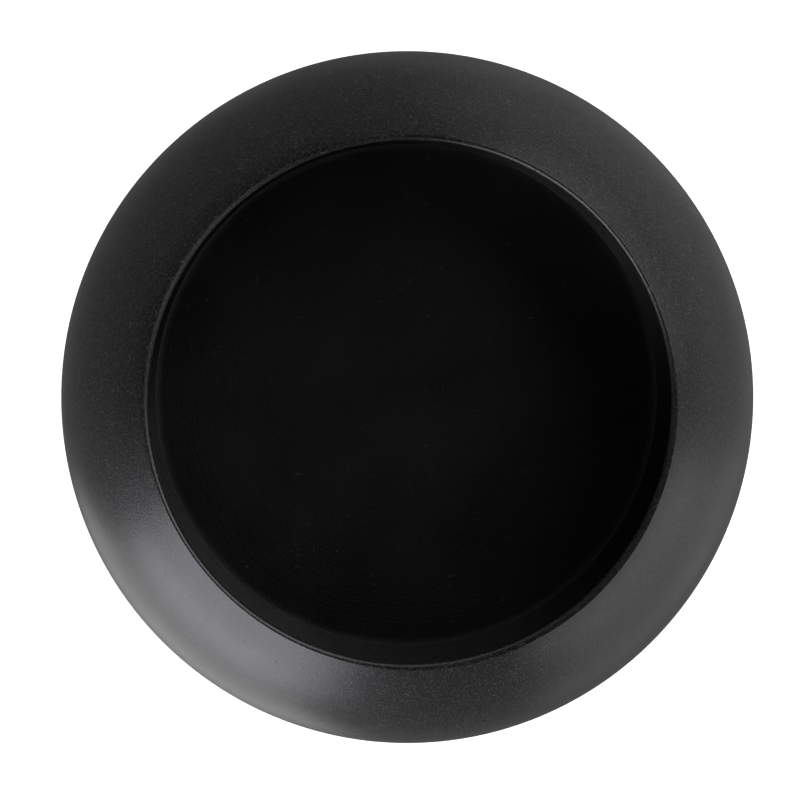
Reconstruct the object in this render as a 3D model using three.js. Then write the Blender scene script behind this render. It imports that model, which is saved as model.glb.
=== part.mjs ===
// Low round bowl with a closed-in shoulder and a wide mouth, in matt black
// stoneware. It is one fired piece, and stands on felt pads stuck under its foot.
//
// Millimetres, +Z up. The origin is on the bowl's axis, at the height of the
// surface that the pads stand on.

import * as THREE from 'three';

// Bowl, outside
const BELLY_RADIUS = 175; // the widest place
const BELLY_HEIGHT = 50; // height of the widest place
const TOP_HEIGHT = 140; // top face of the lip
const FOOT_RADIUS = 126; // outer edge of the foot's flat face

// Lip: nearly level at its outer corner, and rounded down to an upright inner face
const MOUTH_RADIUS = 126.5; // the narrowest place
const LIP_WIDTH = 2.8; // from the inner face to the corner
const LIP_DOME = 2; // height of the rounded top
const DOME_REACH = 3.4; // the rounding would be level this far from the inner face
const LIP_DEPTH = 3.8; // from the top down to where the inside turns outwards
const CORNER_ROUND = 0.3;
const SHOULDER_SLOPE = Math.PI / 4.5; // outside the corner, in radians from level

// Wall and floor
const WALL = 4.5; // thickness at the belly
const FLOOR_HEIGHT = 8.3; // top face of the floor inside
const FLOOR_RADIUS = 125.7; // where the floor's flat ends
const SKIRT_WIDTH = 4.1; // ring that turns up between the flat and the wall
const SKIRT_ROUND = 20; // radius of that ring's curve
const CONE_RADIUS = 165; // the wall is straight from the skirt to here

// Underside
const RECESS_RADIUS = 105; // inner edge of the foot's flat face
const RECESS_DEPTH = 1.8;
const FOOT_ROUND = 1;

// Pads
const PAD_COUNT = 4;
const PAD_RADIUS = 7;
const PAD_HEIGHT = 2;
const PAD_ROUND = 0.4;
const ADHESIVE = 0.3; // film between a pad and the foot

// Fineness of the facets
const BOWL_SEGMENTS = 80;
const PAD_SEGMENTS = 32;
const SHOULDER_STEPS = 10;
const LOWER_STEPS = 8;
const INNER_STEPS = 6;
const FOOT_STEPS = 3;
const CORNER_STEPS = 2;
const LIP_STEPS = 7;
const SKIRT_STEPS = 2;

const FOOT_HEIGHT = PAD_HEIGHT + ADHESIVE;
const QUARTER_TURN = Math.PI / 2;

const glaze = new THREE.MeshStandardMaterial({ color: 0x1b1b1d, roughness: 0.5, metalness: 0 });
const felt = new THREE.MeshStandardMaterial({ color: 0x1f1e1e, roughness: 0.95, metalness: 0 });

// Every outline is a list of (radius, height) points.

// Half of an ellipse's height, for an ellipse centred on the axis that is
// `widest` wide and passes through `radius` at `rise` from its middle.
function ellipseHeight(widest, radius, rise) {
  return rise / Math.sqrt(1 - (radius / widest) ** 2);
}

// Part of an ellipse, between two angles in radians.
function arc(centre, width, height, fromAngle, toAngle, steps) {
  const points = [];
  for (let i = 0; i <= steps; i++) {
    const angle = fromAngle + (toAngle - fromAngle) * (i / steps);
    points.push(new THREE.Vector2(
      centre.x + width * Math.cos(angle),
      centre.y + height * Math.sin(angle),
    ));
  }
  return points;
}

// Part of an ellipse about the axis, which is `widest` at the belly. A negative
// `height` is the half below the belly.
function bellyArc(widest, height, fromRadius, toRadius, steps) {
  const middle = new THREE.Vector2(0, BELLY_HEIGHT);
  const start = Math.acos(fromRadius / widest);
  const end = Math.acos(toRadius / widest);
  return arc(middle, widest, height, start, end, steps);
}

// Turns an outline about Z. It runs from the axis, out along the underside,
// up and over, and back to the axis.
function turned(name, outline, segments, material) {
  const geometry = new THREE.LatheGeometry(outline, segments);
  geometry.rotateX(QUARTER_TURN);
  const mesh = new THREE.Mesh(geometry, material);
  mesh.name = name;
  return mesh;
}

function underside() {
  const recessHeight = FOOT_HEIGHT + RECESS_DEPTH;
  const slopeStart = RECESS_RADIUS - 2 * RECESS_DEPTH;
  const edgeCentre = new THREE.Vector2(FOOT_RADIUS - FOOT_ROUND, FOOT_HEIGHT + FOOT_ROUND);
  return [
    new THREE.Vector2(0, recessHeight),
    new THREE.Vector2(slopeStart, recessHeight),
    new THREE.Vector2(RECESS_RADIUS, FOOT_HEIGHT),
    ...arc(edgeCentre, FOOT_ROUND, FOOT_ROUND, -QUARTER_TURN, 0, FOOT_STEPS),
  ];
}

// The corner at the top of the shoulder, then the rounded top.
function lip() {
  const corner = new THREE.Vector2(MOUTH_RADIUS + LIP_WIDTH, TOP_HEIGHT - CORNER_ROUND);
  const dome = new THREE.Vector2(MOUTH_RADIUS + DOME_REACH, TOP_HEIGHT - LIP_DOME);
  const cornerStart = QUARTER_TURN - SHOULDER_SLOPE;
  const domeStart = QUARTER_TURN + Math.asin((DOME_REACH - LIP_WIDTH) / DOME_REACH);
  return [
    ...arc(corner, CORNER_ROUND, CORNER_ROUND, cornerStart, QUARTER_TURN, CORNER_STEPS),
    ...arc(dome, DOME_REACH, LIP_DOME, domeStart, Math.PI, LIP_STEPS).slice(1),
  ];
}

function outside() {
  const lowerTop = FOOT_HEIGHT + 2 * FOOT_ROUND;
  const shoulderTop = lip()[0];
  const below = ellipseHeight(BELLY_RADIUS, FOOT_RADIUS, BELLY_HEIGHT - lowerTop);
  const above = ellipseHeight(BELLY_RADIUS, shoulderTop.x, shoulderTop.y - BELLY_HEIGHT);
  const lower = bellyArc(BELLY_RADIUS, -below, FOOT_RADIUS, BELLY_RADIUS, LOWER_STEPS);
  const shoulder = bellyArc(BELLY_RADIUS, above, BELLY_RADIUS, shoulderTop.x, SHOULDER_STEPS);
  return [...lower, ...shoulder.slice(1, -1)];
}

// The inside: under the shoulder, down past the belly, straight down to the
// skirt and over it to the flat floor. The straight stretch is a tangent.
function inside() {
  const widest = BELLY_RADIUS - WALL;
  const skirtCentre = new THREE.Vector2(FLOOR_RADIUS, FLOOR_HEIGHT + SKIRT_ROUND);
  const skirtTurn = Math.asin(SKIRT_WIDTH / SKIRT_ROUND);
  const skirtStart = skirtTurn - QUARTER_TURN;
  const skirt = arc(skirtCentre, SKIRT_ROUND, SKIRT_ROUND, skirtStart, -QUARTER_TURN, SKIRT_STEPS);
  const bend = CONE_RADIUS / (widest ** 2 - CONE_RADIUS ** 2);
  const coneWidth = CONE_RADIUS - skirt[0].x;
  const coneDepth = (BELLY_HEIGHT - skirt[0].y) / (1 + coneWidth * bend);
  const above = ellipseHeight(widest, MOUTH_RADIUS, TOP_HEIGHT - LIP_DEPTH - BELLY_HEIGHT);
  const below = ellipseHeight(widest, CONE_RADIUS, coneDepth);
  const shoulder = bellyArc(widest, above, MOUTH_RADIUS, widest, SHOULDER_STEPS);
  const lower = bellyArc(widest, -below, widest, CONE_RADIUS, INNER_STEPS);
  return [...shoulder, ...lower.slice(1), ...skirt, new THREE.Vector2(0, FLOOR_HEIGHT)];
}

function makeBowl() {
  const outline = [...underside(), ...outside(), ...lip(), ...inside()];
  return turned('bowl', outline, BOWL_SEGMENTS, glaze);
}

function makePad(index) {
  const outline = [
    new THREE.Vector2(0, 0),
    new THREE.Vector2(PAD_RADIUS - PAD_ROUND, 0),
    new THREE.Vector2(PAD_RADIUS, PAD_ROUND),
    new THREE.Vector2(PAD_RADIUS, PAD_HEIGHT),
    new THREE.Vector2(0, PAD_HEIGHT),
  ];
  const pad = turned(`felt_pad_${index + 1}`, outline, PAD_SEGMENTS, felt);
  const ringRadius = (RECESS_RADIUS + FOOT_RADIUS - FOOT_ROUND) / 2;
  const angle = (index + 0.5) * (2 * Math.PI / PAD_COUNT);
  pad.position.set(ringRadius * Math.cos(angle), ringRadius * Math.sin(angle), 0);
  return pad;
}

const assembly = new THREE.Group();
assembly.add(makeBowl());
for (let i = 0; i < PAD_COUNT; i++) {
  assembly.add(makePad(i));
}

export default assembly;
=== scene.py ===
"""A low round bowl in matt black stoneware, on felt pads, in a plain light studio.

The bowl is one surface turned about its axis from an outline, with the marks of the turning in
the surface itself. Metres, +Z up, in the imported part's own frame.
"""

import math

import bpy
import numpy as np
from mathutils import Matrix, Vector


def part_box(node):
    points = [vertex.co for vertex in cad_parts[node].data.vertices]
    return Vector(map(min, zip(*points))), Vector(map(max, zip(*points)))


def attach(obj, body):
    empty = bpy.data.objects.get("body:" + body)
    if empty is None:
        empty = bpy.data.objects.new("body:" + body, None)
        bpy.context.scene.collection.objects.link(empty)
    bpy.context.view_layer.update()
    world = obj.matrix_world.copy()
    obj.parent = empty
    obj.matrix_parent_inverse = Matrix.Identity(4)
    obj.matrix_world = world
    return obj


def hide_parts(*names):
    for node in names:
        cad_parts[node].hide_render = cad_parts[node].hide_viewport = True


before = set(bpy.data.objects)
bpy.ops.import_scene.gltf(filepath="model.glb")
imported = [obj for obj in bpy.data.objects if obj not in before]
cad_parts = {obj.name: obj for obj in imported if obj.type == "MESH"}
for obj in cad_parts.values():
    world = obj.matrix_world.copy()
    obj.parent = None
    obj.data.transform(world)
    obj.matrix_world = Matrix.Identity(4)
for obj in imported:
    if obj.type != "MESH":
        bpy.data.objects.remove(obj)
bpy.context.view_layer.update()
bowl_low, bowl_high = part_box("bowl")

MM = 0.001

# ---------------------------------------------------------------- sizes
# The frame gives the widest radius, the top and the foot. The others are the bowl's own.
SKIN = 0.02 * MM  # the fine surface stays this far inside the frame's box
BELLY_RADIUS = bowl_high.x - SKIN
TOP = bowl_high.z - SKIN
FOOT = bowl_low.z + SKIN
BELLY_HEIGHT = 50 * MM

MOUTH_RADIUS = 126.5 * MM
LIP_WIDTH = 2.8 * MM
LIP_DOME = 2 * MM  # height of the lip's rounded top
LIP_REACH = 3.4 * MM  # the rounding would be level this far from the mouth, past the corner
LIP_DEPTH = 3.8 * MM
CORNER_ROUND = 0.3 * MM  # radius of the corner between lip and shoulder
SHOULDER_SLOPE = 40  # degrees from level outside that corner
WALL = 4.5 * MM

FLOOR = 8.3 * MM
FLOOR_RADIUS = 125.7 * MM
SKIRT_WIDTH = 4.1 * MM  # the ring that turns up between the floor and the wall
SKIRT_ROUND = 20 * MM  # radius of its curve
CONE_RADIUS = 165 * MM  # the wall is straight from the skirt to here

FOOT_RADIUS = 126 * MM
FOOT_ROUND = 1 * MM
RECESS_RADIUS = 105 * MM
RECESS_DEPTH = 1.8 * MM

TURNS = 256  # columns of faces round the bowl
STEP = 2 * MM  # distance between rows of faces on plain stretches
FINE_STEP = 0.4 * MM  # and where turning marks or edges show
CREASE = 25  # degrees between two rows of faces from which the edge between them stays sharp


# ---------------------------------------------------------------- outline
def line(start, end, step):
    """Points from start up to end, without end."""
    start, end = np.array(start, float), np.array(end, float)
    count = max(1, round(np.linalg.norm(end - start) / step))
    return [start + (end - start) * i / count for i in range(count)]


def arc(centre, size, from_degrees, to_degrees, steps=8):
    """Points round part of a circle of that radius, or of an ellipse of that width and height,
    without the last."""
    angles = np.radians(np.linspace(from_degrees, to_degrees, steps + 1)[:-1])
    size = np.array(size)
    return [np.array(centre) + size * np.array((math.cos(a), math.sin(a))) for a in angles]


def ellipse(widest, through, from_radius, to_radius):
    """Points on an ellipse about the axis, without the last. It is widest at the belly, and
    through is a point on it."""
    radius, height = through
    half_height = (height - BELLY_HEIGHT) / math.sqrt(1 - (radius / widest) ** 2)
    start, end = math.acos(from_radius / widest), math.acos(to_radius / widest)
    count = round(widest * abs(end - start) / STEP)
    angles = np.linspace(start, end, count + 1)[:-1]
    return [np.array((widest * math.cos(a), BELLY_HEIGHT + half_height * math.sin(a))) for a in angles]


def underside():
    recess = FOOT + RECESS_DEPTH
    slope = RECESS_RADIUS - 2 * RECESS_DEPTH
    edge = (FOOT_RADIUS - FOOT_ROUND, FOOT + FOOT_ROUND)
    return (
        line((0, recess), (slope, recess), STEP / 2)
        + line((slope, recess), (RECESS_RADIUS, FOOT), FINE_STEP)
        + line((RECESS_RADIUS, FOOT), (edge[0], FOOT), FINE_STEP)
        + arc(edge, FOOT_ROUND, -90, 0)
        + line((FOOT_RADIUS, edge[1]), (FOOT_RADIUS, FOOT + 2 * FOOT_ROUND), FINE_STEP)
    )


def outside():
    """The lower outside and the shoulder, as far as the lip."""
    below = (FOOT_RADIUS, FOOT + 2 * FOOT_ROUND)
    above = lip()[0]
    return (
        ellipse(BELLY_RADIUS, below, FOOT_RADIUS, BELLY_RADIUS)
        + ellipse(BELLY_RADIUS, above, BELLY_RADIUS, above[0])
    )


def lip():
    """The corner at the top of the shoulder, the rounded top and the upright inner face."""
    outer = MOUTH_RADIUS + LIP_WIDTH
    face_top = TOP - LIP_DOME
    corner = 90 + math.degrees(math.asin((LIP_REACH - LIP_WIDTH) / LIP_REACH))
    return (
        arc((outer, TOP - CORNER_ROUND), CORNER_ROUND, 90 - SHOULDER_SLOPE, 90, steps=6)
        + arc((MOUTH_RADIUS + LIP_REACH, face_top), (LIP_REACH, LIP_DOME), corner, 180, steps=20)
        + line((MOUTH_RADIUS, face_top), (MOUTH_RADIUS, TOP - LIP_DEPTH), FINE_STEP)
    )


def inside_wall():
    """Under the shoulder, down past the belly, straight down to the skirt and over it. The
    straight stretch is a tangent to the ellipse above it."""
    widest = BELLY_RADIUS - WALL
    turn = math.degrees(math.asin(SKIRT_WIDTH / SKIRT_ROUND))
    skirt = arc((FLOOR_RADIUS, FLOOR + SKIRT_ROUND), SKIRT_ROUND, turn - 90, -90, steps=10)
    foot_radius, foot_height = skirt[0]
    bend = CONE_RADIUS / (widest**2 - CONE_RADIUS**2)
    cone_height = BELLY_HEIGHT - (BELLY_HEIGHT - foot_height) / (1 + (CONE_RADIUS - foot_radius) * bend)
    cone = (CONE_RADIUS, cone_height)
    return (
        ellipse(widest, (MOUTH_RADIUS, TOP - LIP_DEPTH), MOUTH_RADIUS, widest)
        + ellipse(widest, cone, widest, CONE_RADIUS)
        + line(cone, skirt[0], STEP)
        + skirt
    )


def inside_floor():
    plain = MARK_ZONE[0] - 10 * MM
    return (
        line((FLOOR_RADIUS, FLOOR), (plain, FLOOR), FINE_STEP)
        + line((plain, FLOOR), (0, FLOOR), STEP)
        + [np.array((0, FLOOR))]
    )


# ---------------------------------------------------------------- relief
# How far the surface stands out of the plain outline, in metres.
MARK_DEPTH = 0.025 * MM
MARK_ZONE = (84 * MM, 121 * MM)  # radii between which the floor's turning marks show
MARK_RINGS = (90.5, 104.6, 109.8, 113, 117.4, 120)  # radii of the deeper ones, in millimetres
MARK_WIDTH = 1.3 * MM
FAINT_PITCH = 1.9 * MM
LIP_SWAY = 0.7 * MM  # how much wider and narrower than LIP_WIDTH the lip gets
LIP_SWAY_SIDE = 131  # azimuth of one of its two widest places, in degrees
LIP_SWAY_REACH = 14 * MM  # how far down the shoulder still follows it
TRIM_DEPTH = 0.05 * MM
TRIM_PITCH = 4 * MM


def fade(value, start, end):
    """0 up to start, 1 past end, smooth between."""
    share = np.clip((value - start) / (end - start), 0, 1)
    return share * share * (3 - 2 * share)


def wander(angle, seed):
    """A slow random change round the bowl, about -1 to 1, that closes on itself."""
    draw = np.random.default_rng(seed)
    waves = [
        draw.uniform(0.3, 1) / turn * np.cos(turn * angle + draw.uniform(0, 2 * math.pi))
        for turn in range(1, 5)
    ]
    return sum(waves) / 1.6


def floor_marks(radius, angle):
    """Grooves that the turning tool left on the outer part of the floor inside."""
    inner, outer = MARK_ZONE
    zone = fade(radius, inner - 6 * MM, inner + 6 * MM) * (1 - fade(radius, outer, outer + 3 * MM))
    drift = 0.5 * MM * wander(angle, seed=3)
    marks = 0.25 * np.sin(2 * math.pi * (radius + drift) / FAINT_PITCH)
    marks += 0.2 * np.sin(2 * math.pi * (radius - 2 * drift) / (1.37 * FAINT_PITCH))
    for number, ring in enumerate(MARK_RINGS):
        offset = radius - ring * MM + 0.35 * MM * wander(angle, seed=20 + number)
        strength = 0.7 + 0.3 * wander(angle, seed=40 + number)
        marks -= strength * np.exp(-(2 * offset / MARK_WIDTH) ** 2)
    return MARK_DEPTH * zone * marks


def trim_marks(radius, angle):
    """The spiral that trimming leaves in the recess under the bowl."""
    inset = fade(RECESS_RADIUS - radius, 6 * MM, 12 * MM) * fade(radius, 0, 8 * MM)
    return TRIM_DEPTH * inset * np.sin(2 * math.pi * radius / TRIM_PITCH + angle)


def no_relief(radius, angle):
    return np.zeros_like(radius + angle)


def lip_sway(radius, height, angle):
    """How far outwards the lip's corner lies from its place. The lip isn't even, as on any
    bowl finished by hand."""
    high = fade(height, TOP - LIP_SWAY_REACH, TOP - LIP_DOME)
    off_mouth = fade(radius, MOUTH_RADIUS, MOUTH_RADIUS + LIP_WIDTH)
    return LIP_SWAY * high * off_mouth * np.cos(2 * (angle - math.radians(LIP_SWAY_SIDE)))


# ---------------------------------------------------------------- meshes
def turned_grid(stretches, columns, sway):
    """The outline's points turned about the axis: an array of rows, columns and coordinates."""
    outline = np.array([point for points, _ in stretches for point in points])
    slope = np.gradient(outline, axis=0)
    outward = np.stack((slope[:, 1], -slope[:, 0]), axis=1)
    outward /= np.linalg.norm(outward, axis=1, keepdims=True)

    angle = np.arange(columns) * 2 * math.pi / columns
    rise = []
    for points, relief in stretches:
        rise += [relief(point[0], angle) for point in points]
    rise = np.array(rise)
    rise[[0, -1]] = 0
    radius = outline[:, :1] + rise * outward[:, :1]
    height = outline[:, 1:] + rise * outward[:, 1:]
    if sway:
        radius = radius + sway(radius, height, angle)
    return np.stack((radius * np.cos(angle), radius * np.sin(angle), height), axis=2)


def shell_faces(rings, columns):
    """Faces of a closed surface of that many rings of points, with one point before the first
    ring and one after the last."""
    last_ring = 1 + (rings - 1) * columns
    end = last_ring + columns
    faces = []
    for column in range(columns):
        beside = (column + 1) % columns
        faces.append((0, 1 + beside, 1 + column))
        faces.append((last_ring + column, last_ring + beside, end))
        for ring in range(1, last_ring, columns):
            above = ring + columns
            faces.append((ring + column, ring + beside, above + beside, above + column))
    return faces


def turned(name, stretches, columns, sway=None):
    """A closed surface of revolution. stretches is a list of (outline points, relief), which
    together run from the axis, out, up and back to the axis. sway moves points outwards."""
    grid = turned_grid(stretches, columns, sway)
    start, end = grid[0, 0], grid[-1, 0]
    vertices = [start.tolist(), *grid[1:-1].reshape(-1, 3).tolist(), end.tolist()]
    mesh = bpy.data.meshes.new(name)
    mesh.from_pydata(vertices, [], shell_faces(len(grid) - 2, columns))
    mesh.shade_smooth()
    mesh.set_sharp_from_angle(angle=math.radians(CREASE))
    piece = bpy.data.objects.new(name, mesh)
    bpy.context.scene.collection.objects.link(piece)
    return piece


def make_bowl(material):
    stretches = [
        (underside(), trim_marks),
        (outside() + lip() + inside_wall(), no_relief),
        (inside_floor(), floor_marks),
    ]
    bowl = turned("bowl_body", stretches, TURNS, lip_sway)
    bowl.data.materials.append(material)
    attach(bowl, "root")
    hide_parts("bowl")
    return bowl


PAD_EDGE = 0.5 * MM
PAD_FRAY = 0.12 * MM
PAD_COLUMNS = 72


def pad_fray(seed):
    """Uneven fibres round a pad's cut edge, always inwards."""
    def relief(radius, angle):
        draw = np.random.default_rng([seed, round(radius * 1e7)])
        return -PAD_FRAY * draw.random(angle.shape)
    return relief


def make_pad(number, material):
    """A felt disc with a soft edge. It reaches up to the foot, through its adhesive film."""
    node = f"felt_pad_{number}"
    low, high = (Vector(corner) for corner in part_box(node))
    radius = (high.x - low.x) / 2
    edge = radius - PAD_EDGE
    rim_low, rim_high = low.z + PAD_EDGE, high.z - PAD_EDGE / 2
    bottom = line((0, low.z), (edge, low.z), PAD_EDGE)
    rim = (
        arc((edge, rim_low), PAD_EDGE, -90, 0, steps=4)
        + line((radius, rim_low), (radius, rim_high), PAD_EDGE / 2)
    )
    top = line((radius, rim_high), (edge, high.z), PAD_EDGE / 2)
    film = [np.array((edge, high.z)), np.array((edge, bowl_low.z)), np.array((0, bowl_low.z))]
    stretches = [(bottom, no_relief), (rim + top, pad_fray(number)), (film, no_relief)]
    pad = turned(f"pad_{number}", stretches, PAD_COLUMNS)
    centre = (low + high) / 2
    pad.data.transform(Matrix.Translation((centre.x, centre.y, 0)))
    pad.data.materials.append(material)
    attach(pad, "root")
    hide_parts(node)


# ---------------------------------------------------------------- materials
# Lengths in the materials' nodes are millimetres, apart from the depths of bumps.
CLOUD_SIZE = 45
GRAIN_SIZE = 0.9
HAIR_BEND = 6  # how far a hair may stray to the side
HAIR_WIDTH = 0.12  # as a share of its length


class Nodes:
    """A node tree, and short calls that add to it."""

    def __init__(self, tree):
        self.tree = tree
        tree.nodes.clear()

    def put(self, value, socket):
        """Links value to the socket if it is another node's output, or else sets it."""
        if isinstance(value, bpy.types.NodeSocket):
            self.tree.links.new(value, socket)
        else:
            socket.default_value = value

    def add(self, kind, inputs=None, **settings):
        node = self.tree.nodes.new(kind)
        for name, value in settings.items():
            setattr(node, name, value)
        for key, value in (inputs or {}).items():
            self.put(value, node.inputs[key])
        return node

    def math(self, operation, first, second):
        return self.add("ShaderNodeMath", {0: first, 1: second}, operation=operation).outputs[0]

    def vector(self, operation, *inputs):
        """The result of a sum on vectors, which for LENGTH is a number."""
        inputs = dict(enumerate(inputs))
        outputs = self.add("ShaderNodeVectorMath", inputs, operation=operation).outputs
        return outputs["Value"] if operation == "LENGTH" else outputs["Vector"]

    def range(self, value, low, high, to_low=0.0, to_high=1.0):
        """value between low and high, taken smoothly to between to_low and to_high."""
        inputs = {"Value": value, 1: low, 2: high, 3: to_low, 4: to_high}
        return self.add("ShaderNodeMapRange", inputs, interpolation_type="SMOOTHSTEP").outputs[0]


class Shader(Nodes):
    """One material."""

    def __init__(self, name):
        self.material = bpy.data.materials.new(name)
        self.material.use_nodes = True
        super().__init__(self.material.node_tree)
        place = self.add("ShaderNodeTexCoord").outputs["Object"]
        self.place = self.vector("MULTIPLY", place, (1 / MM,) * 3)

    def noise(self, size, detail=2.0, place=None):
        """Noise from 0 to 1 whose features are about size across."""
        inputs = {"Vector": place or self.place, "Scale": 1 / size, "Detail": detail}
        return self.add("ShaderNodeTexNoise", inputs).outputs["Fac"]

    def dots(self, spacing, size, share, place=None):
        """Round dots of about that size, in that share of the cells of that spacing."""
        cells = self.add("ShaderNodeTexVoronoi", {"Vector": place or self.place, "Scale": 1 / spacing})
        near = self.range(cells.outputs["Distance"], 0.5 * size / spacing, 0.3 * size / spacing)
        draw = self.add("ShaderNodeSeparateColor", {0: cells.outputs["Color"]}).outputs[0]
        return self.math("MULTIPLY", near, self.math("LESS_THAN", draw, share))

    def hairs(self, spacing, size, share, turn):
        """Thin short fibres, roughly turn degrees round from X, and otherwise as dots."""
        drift = self.add("ShaderNodeTexNoise", {"Vector": self.place, "Scale": 0.15}).outputs["Color"]
        bent = self.vector("MULTIPLY_ADD", drift, (HAIR_BEND,) * 3, self.place)
        along = self.add("ShaderNodeVectorRotate", {0: bent, "Angle": math.radians(turn)})
        thin = self.vector("MULTIPLY", along.outputs[0], (HAIR_WIDTH, 1, 1))
        return self.dots(spacing, size, share, thin)

    def mix(self, share, first, second):
        """A colour between first and second, with that share of the second."""
        node = self.add("ShaderNodeMix", data_type="RGBA")
        sockets = {socket.name: socket for socket in node.inputs if socket.enabled}
        self.put(share, sockets["Factor"])
        self.put(first, sockets["A"])
        self.put(second, sockets["B"])
        return next(socket for socket in node.outputs if socket.enabled)

    def bump(self, height, depth, under=None):
        """A bump whose height from 0 to 1 stands for depth in metres."""
        inputs = {"Height": height, "Distance": depth}
        if under:
            inputs["Normal"] = under
        return self.add("ShaderNodeBump", inputs).outputs[0]

    def finish(self, **inputs):
        inputs = {name.replace("_", " "): value for name, value in inputs.items()}
        surface = self.add("ShaderNodeBsdfPrincipled", inputs)
        output = self.add("ShaderNodeOutputMaterial")
        self.tree.links.new(surface.outputs[0], output.inputs["Surface"])
        return self.material


def grey(level, tint=0.0):
    """An opaque grey, a little bluer where tint is above 0."""
    return (level, level * (1 - tint / 3), level * (1 + tint), 1)


def bare_foot(shader, height):
    """1 on the foot's flat face, 0 on the rest of the bowl."""
    radius = shader.vector("LENGTH", shader.vector("MULTIPLY", shader.place, (1, 1, 0)))
    low = shader.range(height, FOOT / MM + 1.5, FOOT / MM + 0.9)
    off_recess = shader.range(radius, RECESS_RADIUS / MM - 2.5, RECESS_RADIUS / MM - 1.5)
    return shader.math("MULTIPLY", low, off_recess)


def specks(shader, share):
    """Two masks: large dust, and fine dust with short lint. share scales how many there are."""
    dust = shader.dots(6, 0.7, shader.math("MULTIPLY", share, 0.4))
    fine_dust = shader.dots(2.6, 0.9, shader.math("MULTIPLY", share, 0.2))
    lint_share = shader.math("MULTIPLY", share, 0.3)
    lint = shader.math(
        "MAXIMUM",
        shader.hairs(1.6, 0.6, lint_share, turn=0),
        shader.hairs(1.7, 0.6, lint_share, turn=70),
    )
    return dust, shader.math("MAXIMUM", lint, fine_dust)


def glaze_material():
    """Satin black glaze: grained, a little cloudy, with pits, dust and lint. The foot is bare clay."""
    shader = Shader("matt_black_glaze")
    axes = shader.add("ShaderNodeSeparateXYZ", {0: shader.place}).outputs
    height = axes["Z"]
    bare = bare_foot(shader, height)
    lip_wear = shader.range(height, TOP / MM - 1.2, TOP / MM - 0.2)
    speck_share_and_floor_shade = shader.range(height, 25, 60, 0.15, 1)  # the specks are real, but fewer of them and less grain colour low down paint shade on the floor inside

    clouds = shader.noise(CLOUD_SIZE, detail=3)
    grain = shader.noise(GRAIN_SIZE)
    # more pits towards +Y, away from the main light, so that side carries more of their painted shade
    pit_share = shader.math("MULTIPLY", speck_share_and_floor_shade, shader.range(axes["Y"], 30, 150, 0.01, 0.7))
    pits = shader.dots(1.8, 0.8, pit_share)
    # fewer dust and lint specks on the floor inside, as painted shade there
    dust, lint = specks(shader, speck_share_and_floor_shade)
    sand = shader.math("MULTIPLY", shader.noise(0.6, detail=3), bare)

    colour = shader.mix(clouds, grey(0.0022, 0.05), grey(0.0042, 0.05))
    # less grain colour on the floor inside, as painted shade in the deep bowl
    colour = shader.mix(shader.range(grain, 0.5, 0.66, 0, speck_share_and_floor_shade), colour, grey(0.025))
    colour = shader.mix(lint, colour, grey(0.05))
    colour = shader.mix(dust, colour, grey(0.1))
    # the pits are painted almost black: painted shade in the small holes
    colour = shader.mix(pits, colour, grey(0.0005))
    clay = shader.mix(shader.noise(0.8, detail=4), (0.05, 0.043, 0.037, 1), (0.13, 0.11, 0.095, 1))
    colour = shader.mix(bare, colour, clay)

    roughness = shader.range(clouds, 0.3, 0.7, 0.28, 0.34)
    roughness = shader.math("ADD", roughness, shader.math("MULTIPLY", grain, 0.1))
    roughness = shader.math("SUBTRACT", roughness, shader.math("MULTIPLY", lip_wear, 0.05))
    roughness = shader.math("MAXIMUM", roughness, shader.math("MULTIPLY", bare, 0.85))
    hollow = shader.math("MULTIPLY", pits, 0.8)  # the pits are near-black metal, which mirrors as little as a hole: painted shade in the pits

    normal = shader.bump(clouds, 0.25 * MM)
    normal = shader.bump(grain, 0.08 * MM, normal)
    normal = shader.bump(shader.math("SUBTRACT", dust, pits), 0.1 * MM, normal)
    normal = shader.bump(sand, 0.12 * MM, normal)
    return shader.finish(Base_Color=colour, Roughness=roughness, Normal=normal, Metallic=hollow)


def felt_material():
    """Dark pressed felt, with short fibres lying every way."""
    shader = Shader("dark_felt")
    along_x = shader.vector("MULTIPLY", shader.place, (1, 4, 4))
    along_y = shader.vector("MULTIPLY", shader.place, (4, 1, 4))
    fibres = shader.math(
        "MAXIMUM",
        shader.noise(1.2, detail=3, place=along_x),
        shader.noise(1.2, detail=3, place=along_y),
    )
    tufts = shader.noise(2.5)
    colour = shader.mix(shader.range(fibres, 0.45, 0.75), grey(0.008), grey(0.035))
    colour = shader.mix(shader.range(tufts, 0.4, 0.7, 0, 0.4), colour, grey(0.02, 0.05))
    normal = shader.bump(tufts, 0.2 * MM)
    normal = shader.bump(fibres, 0.15 * MM, normal)
    roughness = shader.range(fibres, 0.3, 0.8, 0.98, 0.86)
    return shader.finish(Base_Color=colour, Roughness=roughness, Normal=normal, Sheen_Weight=0.35)


# ---------------------------------------------------------------- studio
CENTRE = Vector((0, 0, TOP / 2))
TABLE_SIZE = 6.0
LIGHT_DISTANCE = 2.0
CEILING = 0.01  # brightness of the room above the lights
WALLS = 0.19  # and round the table, near the horizon and below it


def make_table():
    """A plain white surface, lit from within so that it stays white under the bowl. The bowl
    doesn't mirror it, and it shades nothing: the lights that reach below the horizon and the
    walls stand for the light that it throws back."""
    mesh = bpy.data.meshes.new("table")
    half = TABLE_SIZE / 2
    corners = [(-half, -half, 0), (half, -half, 0), (half, half, 0), (-half, half, 0)]
    mesh.from_pydata(corners, [], [(0, 1, 2, 3)])
    table = bpy.data.objects.new("table", mesh)
    bpy.context.scene.collection.objects.link(table)
    shader = Shader("white_table")
    paper = shader.mix(shader.noise(40), grey(0.78), grey(0.82))
    mesh.materials.append(shader.finish(
        Base_Color=paper, Roughness=0.9, Emission_Color=(1, 1, 1, 1), Emission_Strength=0.95))
    table.visible_glossy = False
    table.visible_shadow = False


def direction(azimuth, elevation):
    """Unit vector towards a place seen from the bowl. Azimuth 0 is +X, 90 is +Y."""
    turn, rise = math.radians(azimuth), math.radians(elevation)
    return Vector((math.cos(turn) * math.cos(rise), math.sin(turn) * math.cos(rise), math.sin(rise)))


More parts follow.
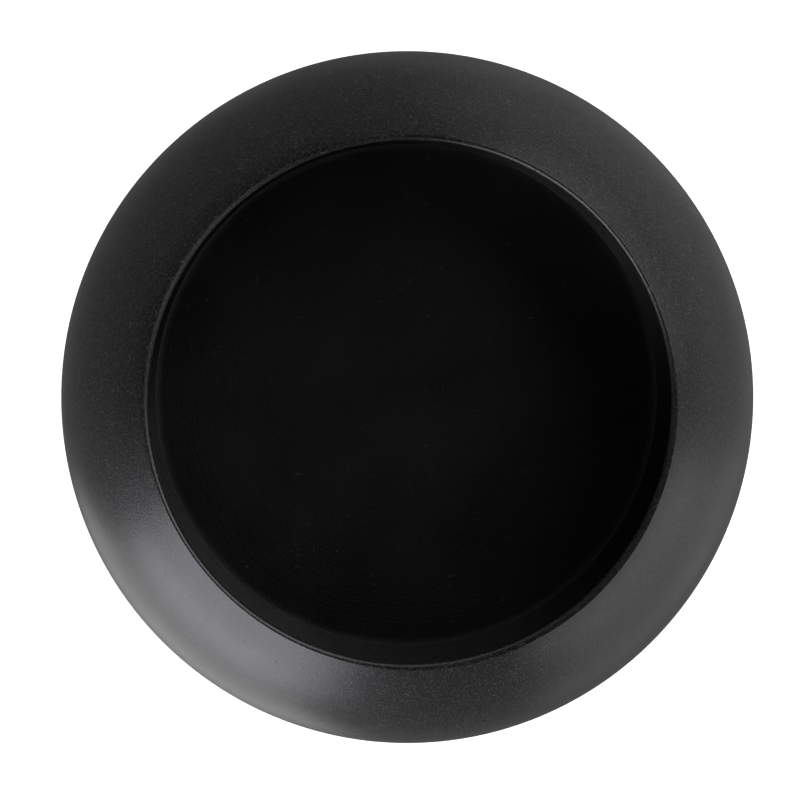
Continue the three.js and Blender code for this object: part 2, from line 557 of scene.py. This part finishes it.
def softbox(name, azimuth, low, high, across, brightness, tint=0.0):
    """An even rectangular light that faces the bowl, from the elevation low to high, and across
    wide, all in degrees as seen from the bowl. It is a little bluer where tint is above 0."""
    middle = (low + high) / 2
    towards = direction(azimuth, middle)
    data = bpy.data.lights.new(name, "AREA")
    data.shape = "RECTANGLE"
    data.size = 2 * LIGHT_DISTANCE * math.cos(math.radians(middle)) * math.tan(math.radians(across / 2))
    data.size_y = 2 * LIGHT_DISTANCE * math.tan(math.radians((high - low) / 2))
    data.energy = brightness * data.size * data.size_y * math.pi
    data.color = grey(1, tint)[:3]
    light = bpy.data.objects.new(name, data)
    light.location = CENTRE + LIGHT_DISTANCE * towards
    light.rotation_euler = towards.to_track_quat("Z", "Y").to_euler()
    light.visible_camera = False
    bpy.context.scene.collection.objects.link(light)
    return light


def make_lights():
    """A large light low at the front left with a weaker one above it, a low and a high one at the
    front right, some that shine into the bowl from behind, and dim ones for the rest of the room.
    A bounce is what the table throws back of the light above it."""
    softbox("main", 231, low=-20, high=36, across=49, brightness=4.05, tint=0.06)
    softbox("main_bounce", 229, low=-60, high=-20, across=49, brightness=1.2)
    softbox("main_top", 228, low=36, high=52, across=46, brightness=1.25, tint=0.06)
    softbox("between", 277, low=6, high=30, across=34, brightness=0.25)
    softbox("second", 322, low=-10, high=16, across=50, brightness=1.55)
    softbox("second_bounce", 322, low=-45, high=-10, across=50, brightness=0.45)
    softbox("high", 325, low=42, high=62, across=40, brightness=1.55)
    softbox("back", 38, low=18, high=50, across=64, brightness=3.4)
    softbox("back_high", 40, low=50, high=72, across=60, brightness=0.6)
    softbox("back_top", 95, low=30, high=55, across=50, brightness=1.0)
    softbox("side", 145, low=-20, high=20, across=110, brightness=0.08)
    softbox("far", 30, low=-30, high=12, across=110, brightness=0.32)
    softbox("far_bounce", 25, low=-65, high=-30, across=110, brightness=0.15)
    softbox("top", 190, low=60, high=80, across=60, brightness=0.15)


def make_room():
    """Pale walls and a dark ceiling. The camera sees plain white past the table."""
    world = bpy.data.worlds.new("studio")
    bpy.context.scene.world = world
    world.use_nodes = True
    room = Nodes(world.node_tree)
    rise = room.add("ShaderNodeSeparateXYZ", {0: room.add("ShaderNodeTexCoord").outputs["Generated"]})
    light = room.range(rise.outputs["Z"], -0.25, 0.1, WALLS, CEILING)
    seen = room.add("ShaderNodeLightPath").outputs["Is Camera Ray"]
    glow = room.add("ShaderNodeBackground", {"Color": grey(1), "Strength": light}).outputs[0]
    white = room.add("ShaderNodeBackground", {"Color": grey(1), "Strength": 1.0}).outputs[0]
    both = room.add("ShaderNodeMixShader", {0: seen, 1: glow, 2: white}).outputs[0]
    output = room.add("ShaderNodeOutputWorld")
    room.tree.links.new(both, output.inputs["Surface"])
    bpy.context.scene.view_settings.view_transform = "Standard"


# ---------------------------------------------------------------- camera
CAMERA_DISTANCE = 1.826  # from the mouth
CAMERA_LEAN = 1.75  # degrees off the bowl's axis
CAMERA_SIDE = 114  # azimuth that it leans towards, in degrees
LENS = 170.17
AIM = Vector((-4.86 * MM, 1.21 * MM, TOP))


def make_camera():
    """Almost straight above the mouth, with +Y up in the picture."""
    back = direction(CAMERA_SIDE, 90 - CAMERA_LEAN)
    right = Vector((0, 1, 0)).cross(back).normalized()
    turn = Matrix((right, back.cross(right), back)).transposed()
    data = bpy.data.cameras.new("camera")
    data.lens = LENS
    camera = bpy.data.objects.new("camera", data)
    camera.matrix_world = Matrix.Translation(AIM + CAMERA_DISTANCE * back) @ turn.to_4x4()
    bpy.context.scene.collection.objects.link(camera)
    bpy.context.scene.camera = camera


make_camera()
make_room()
make_lights()
make_table()
make_bowl(glaze_material())
felt = felt_material()
for number in range(1, 5):
    make_pad(number, felt)
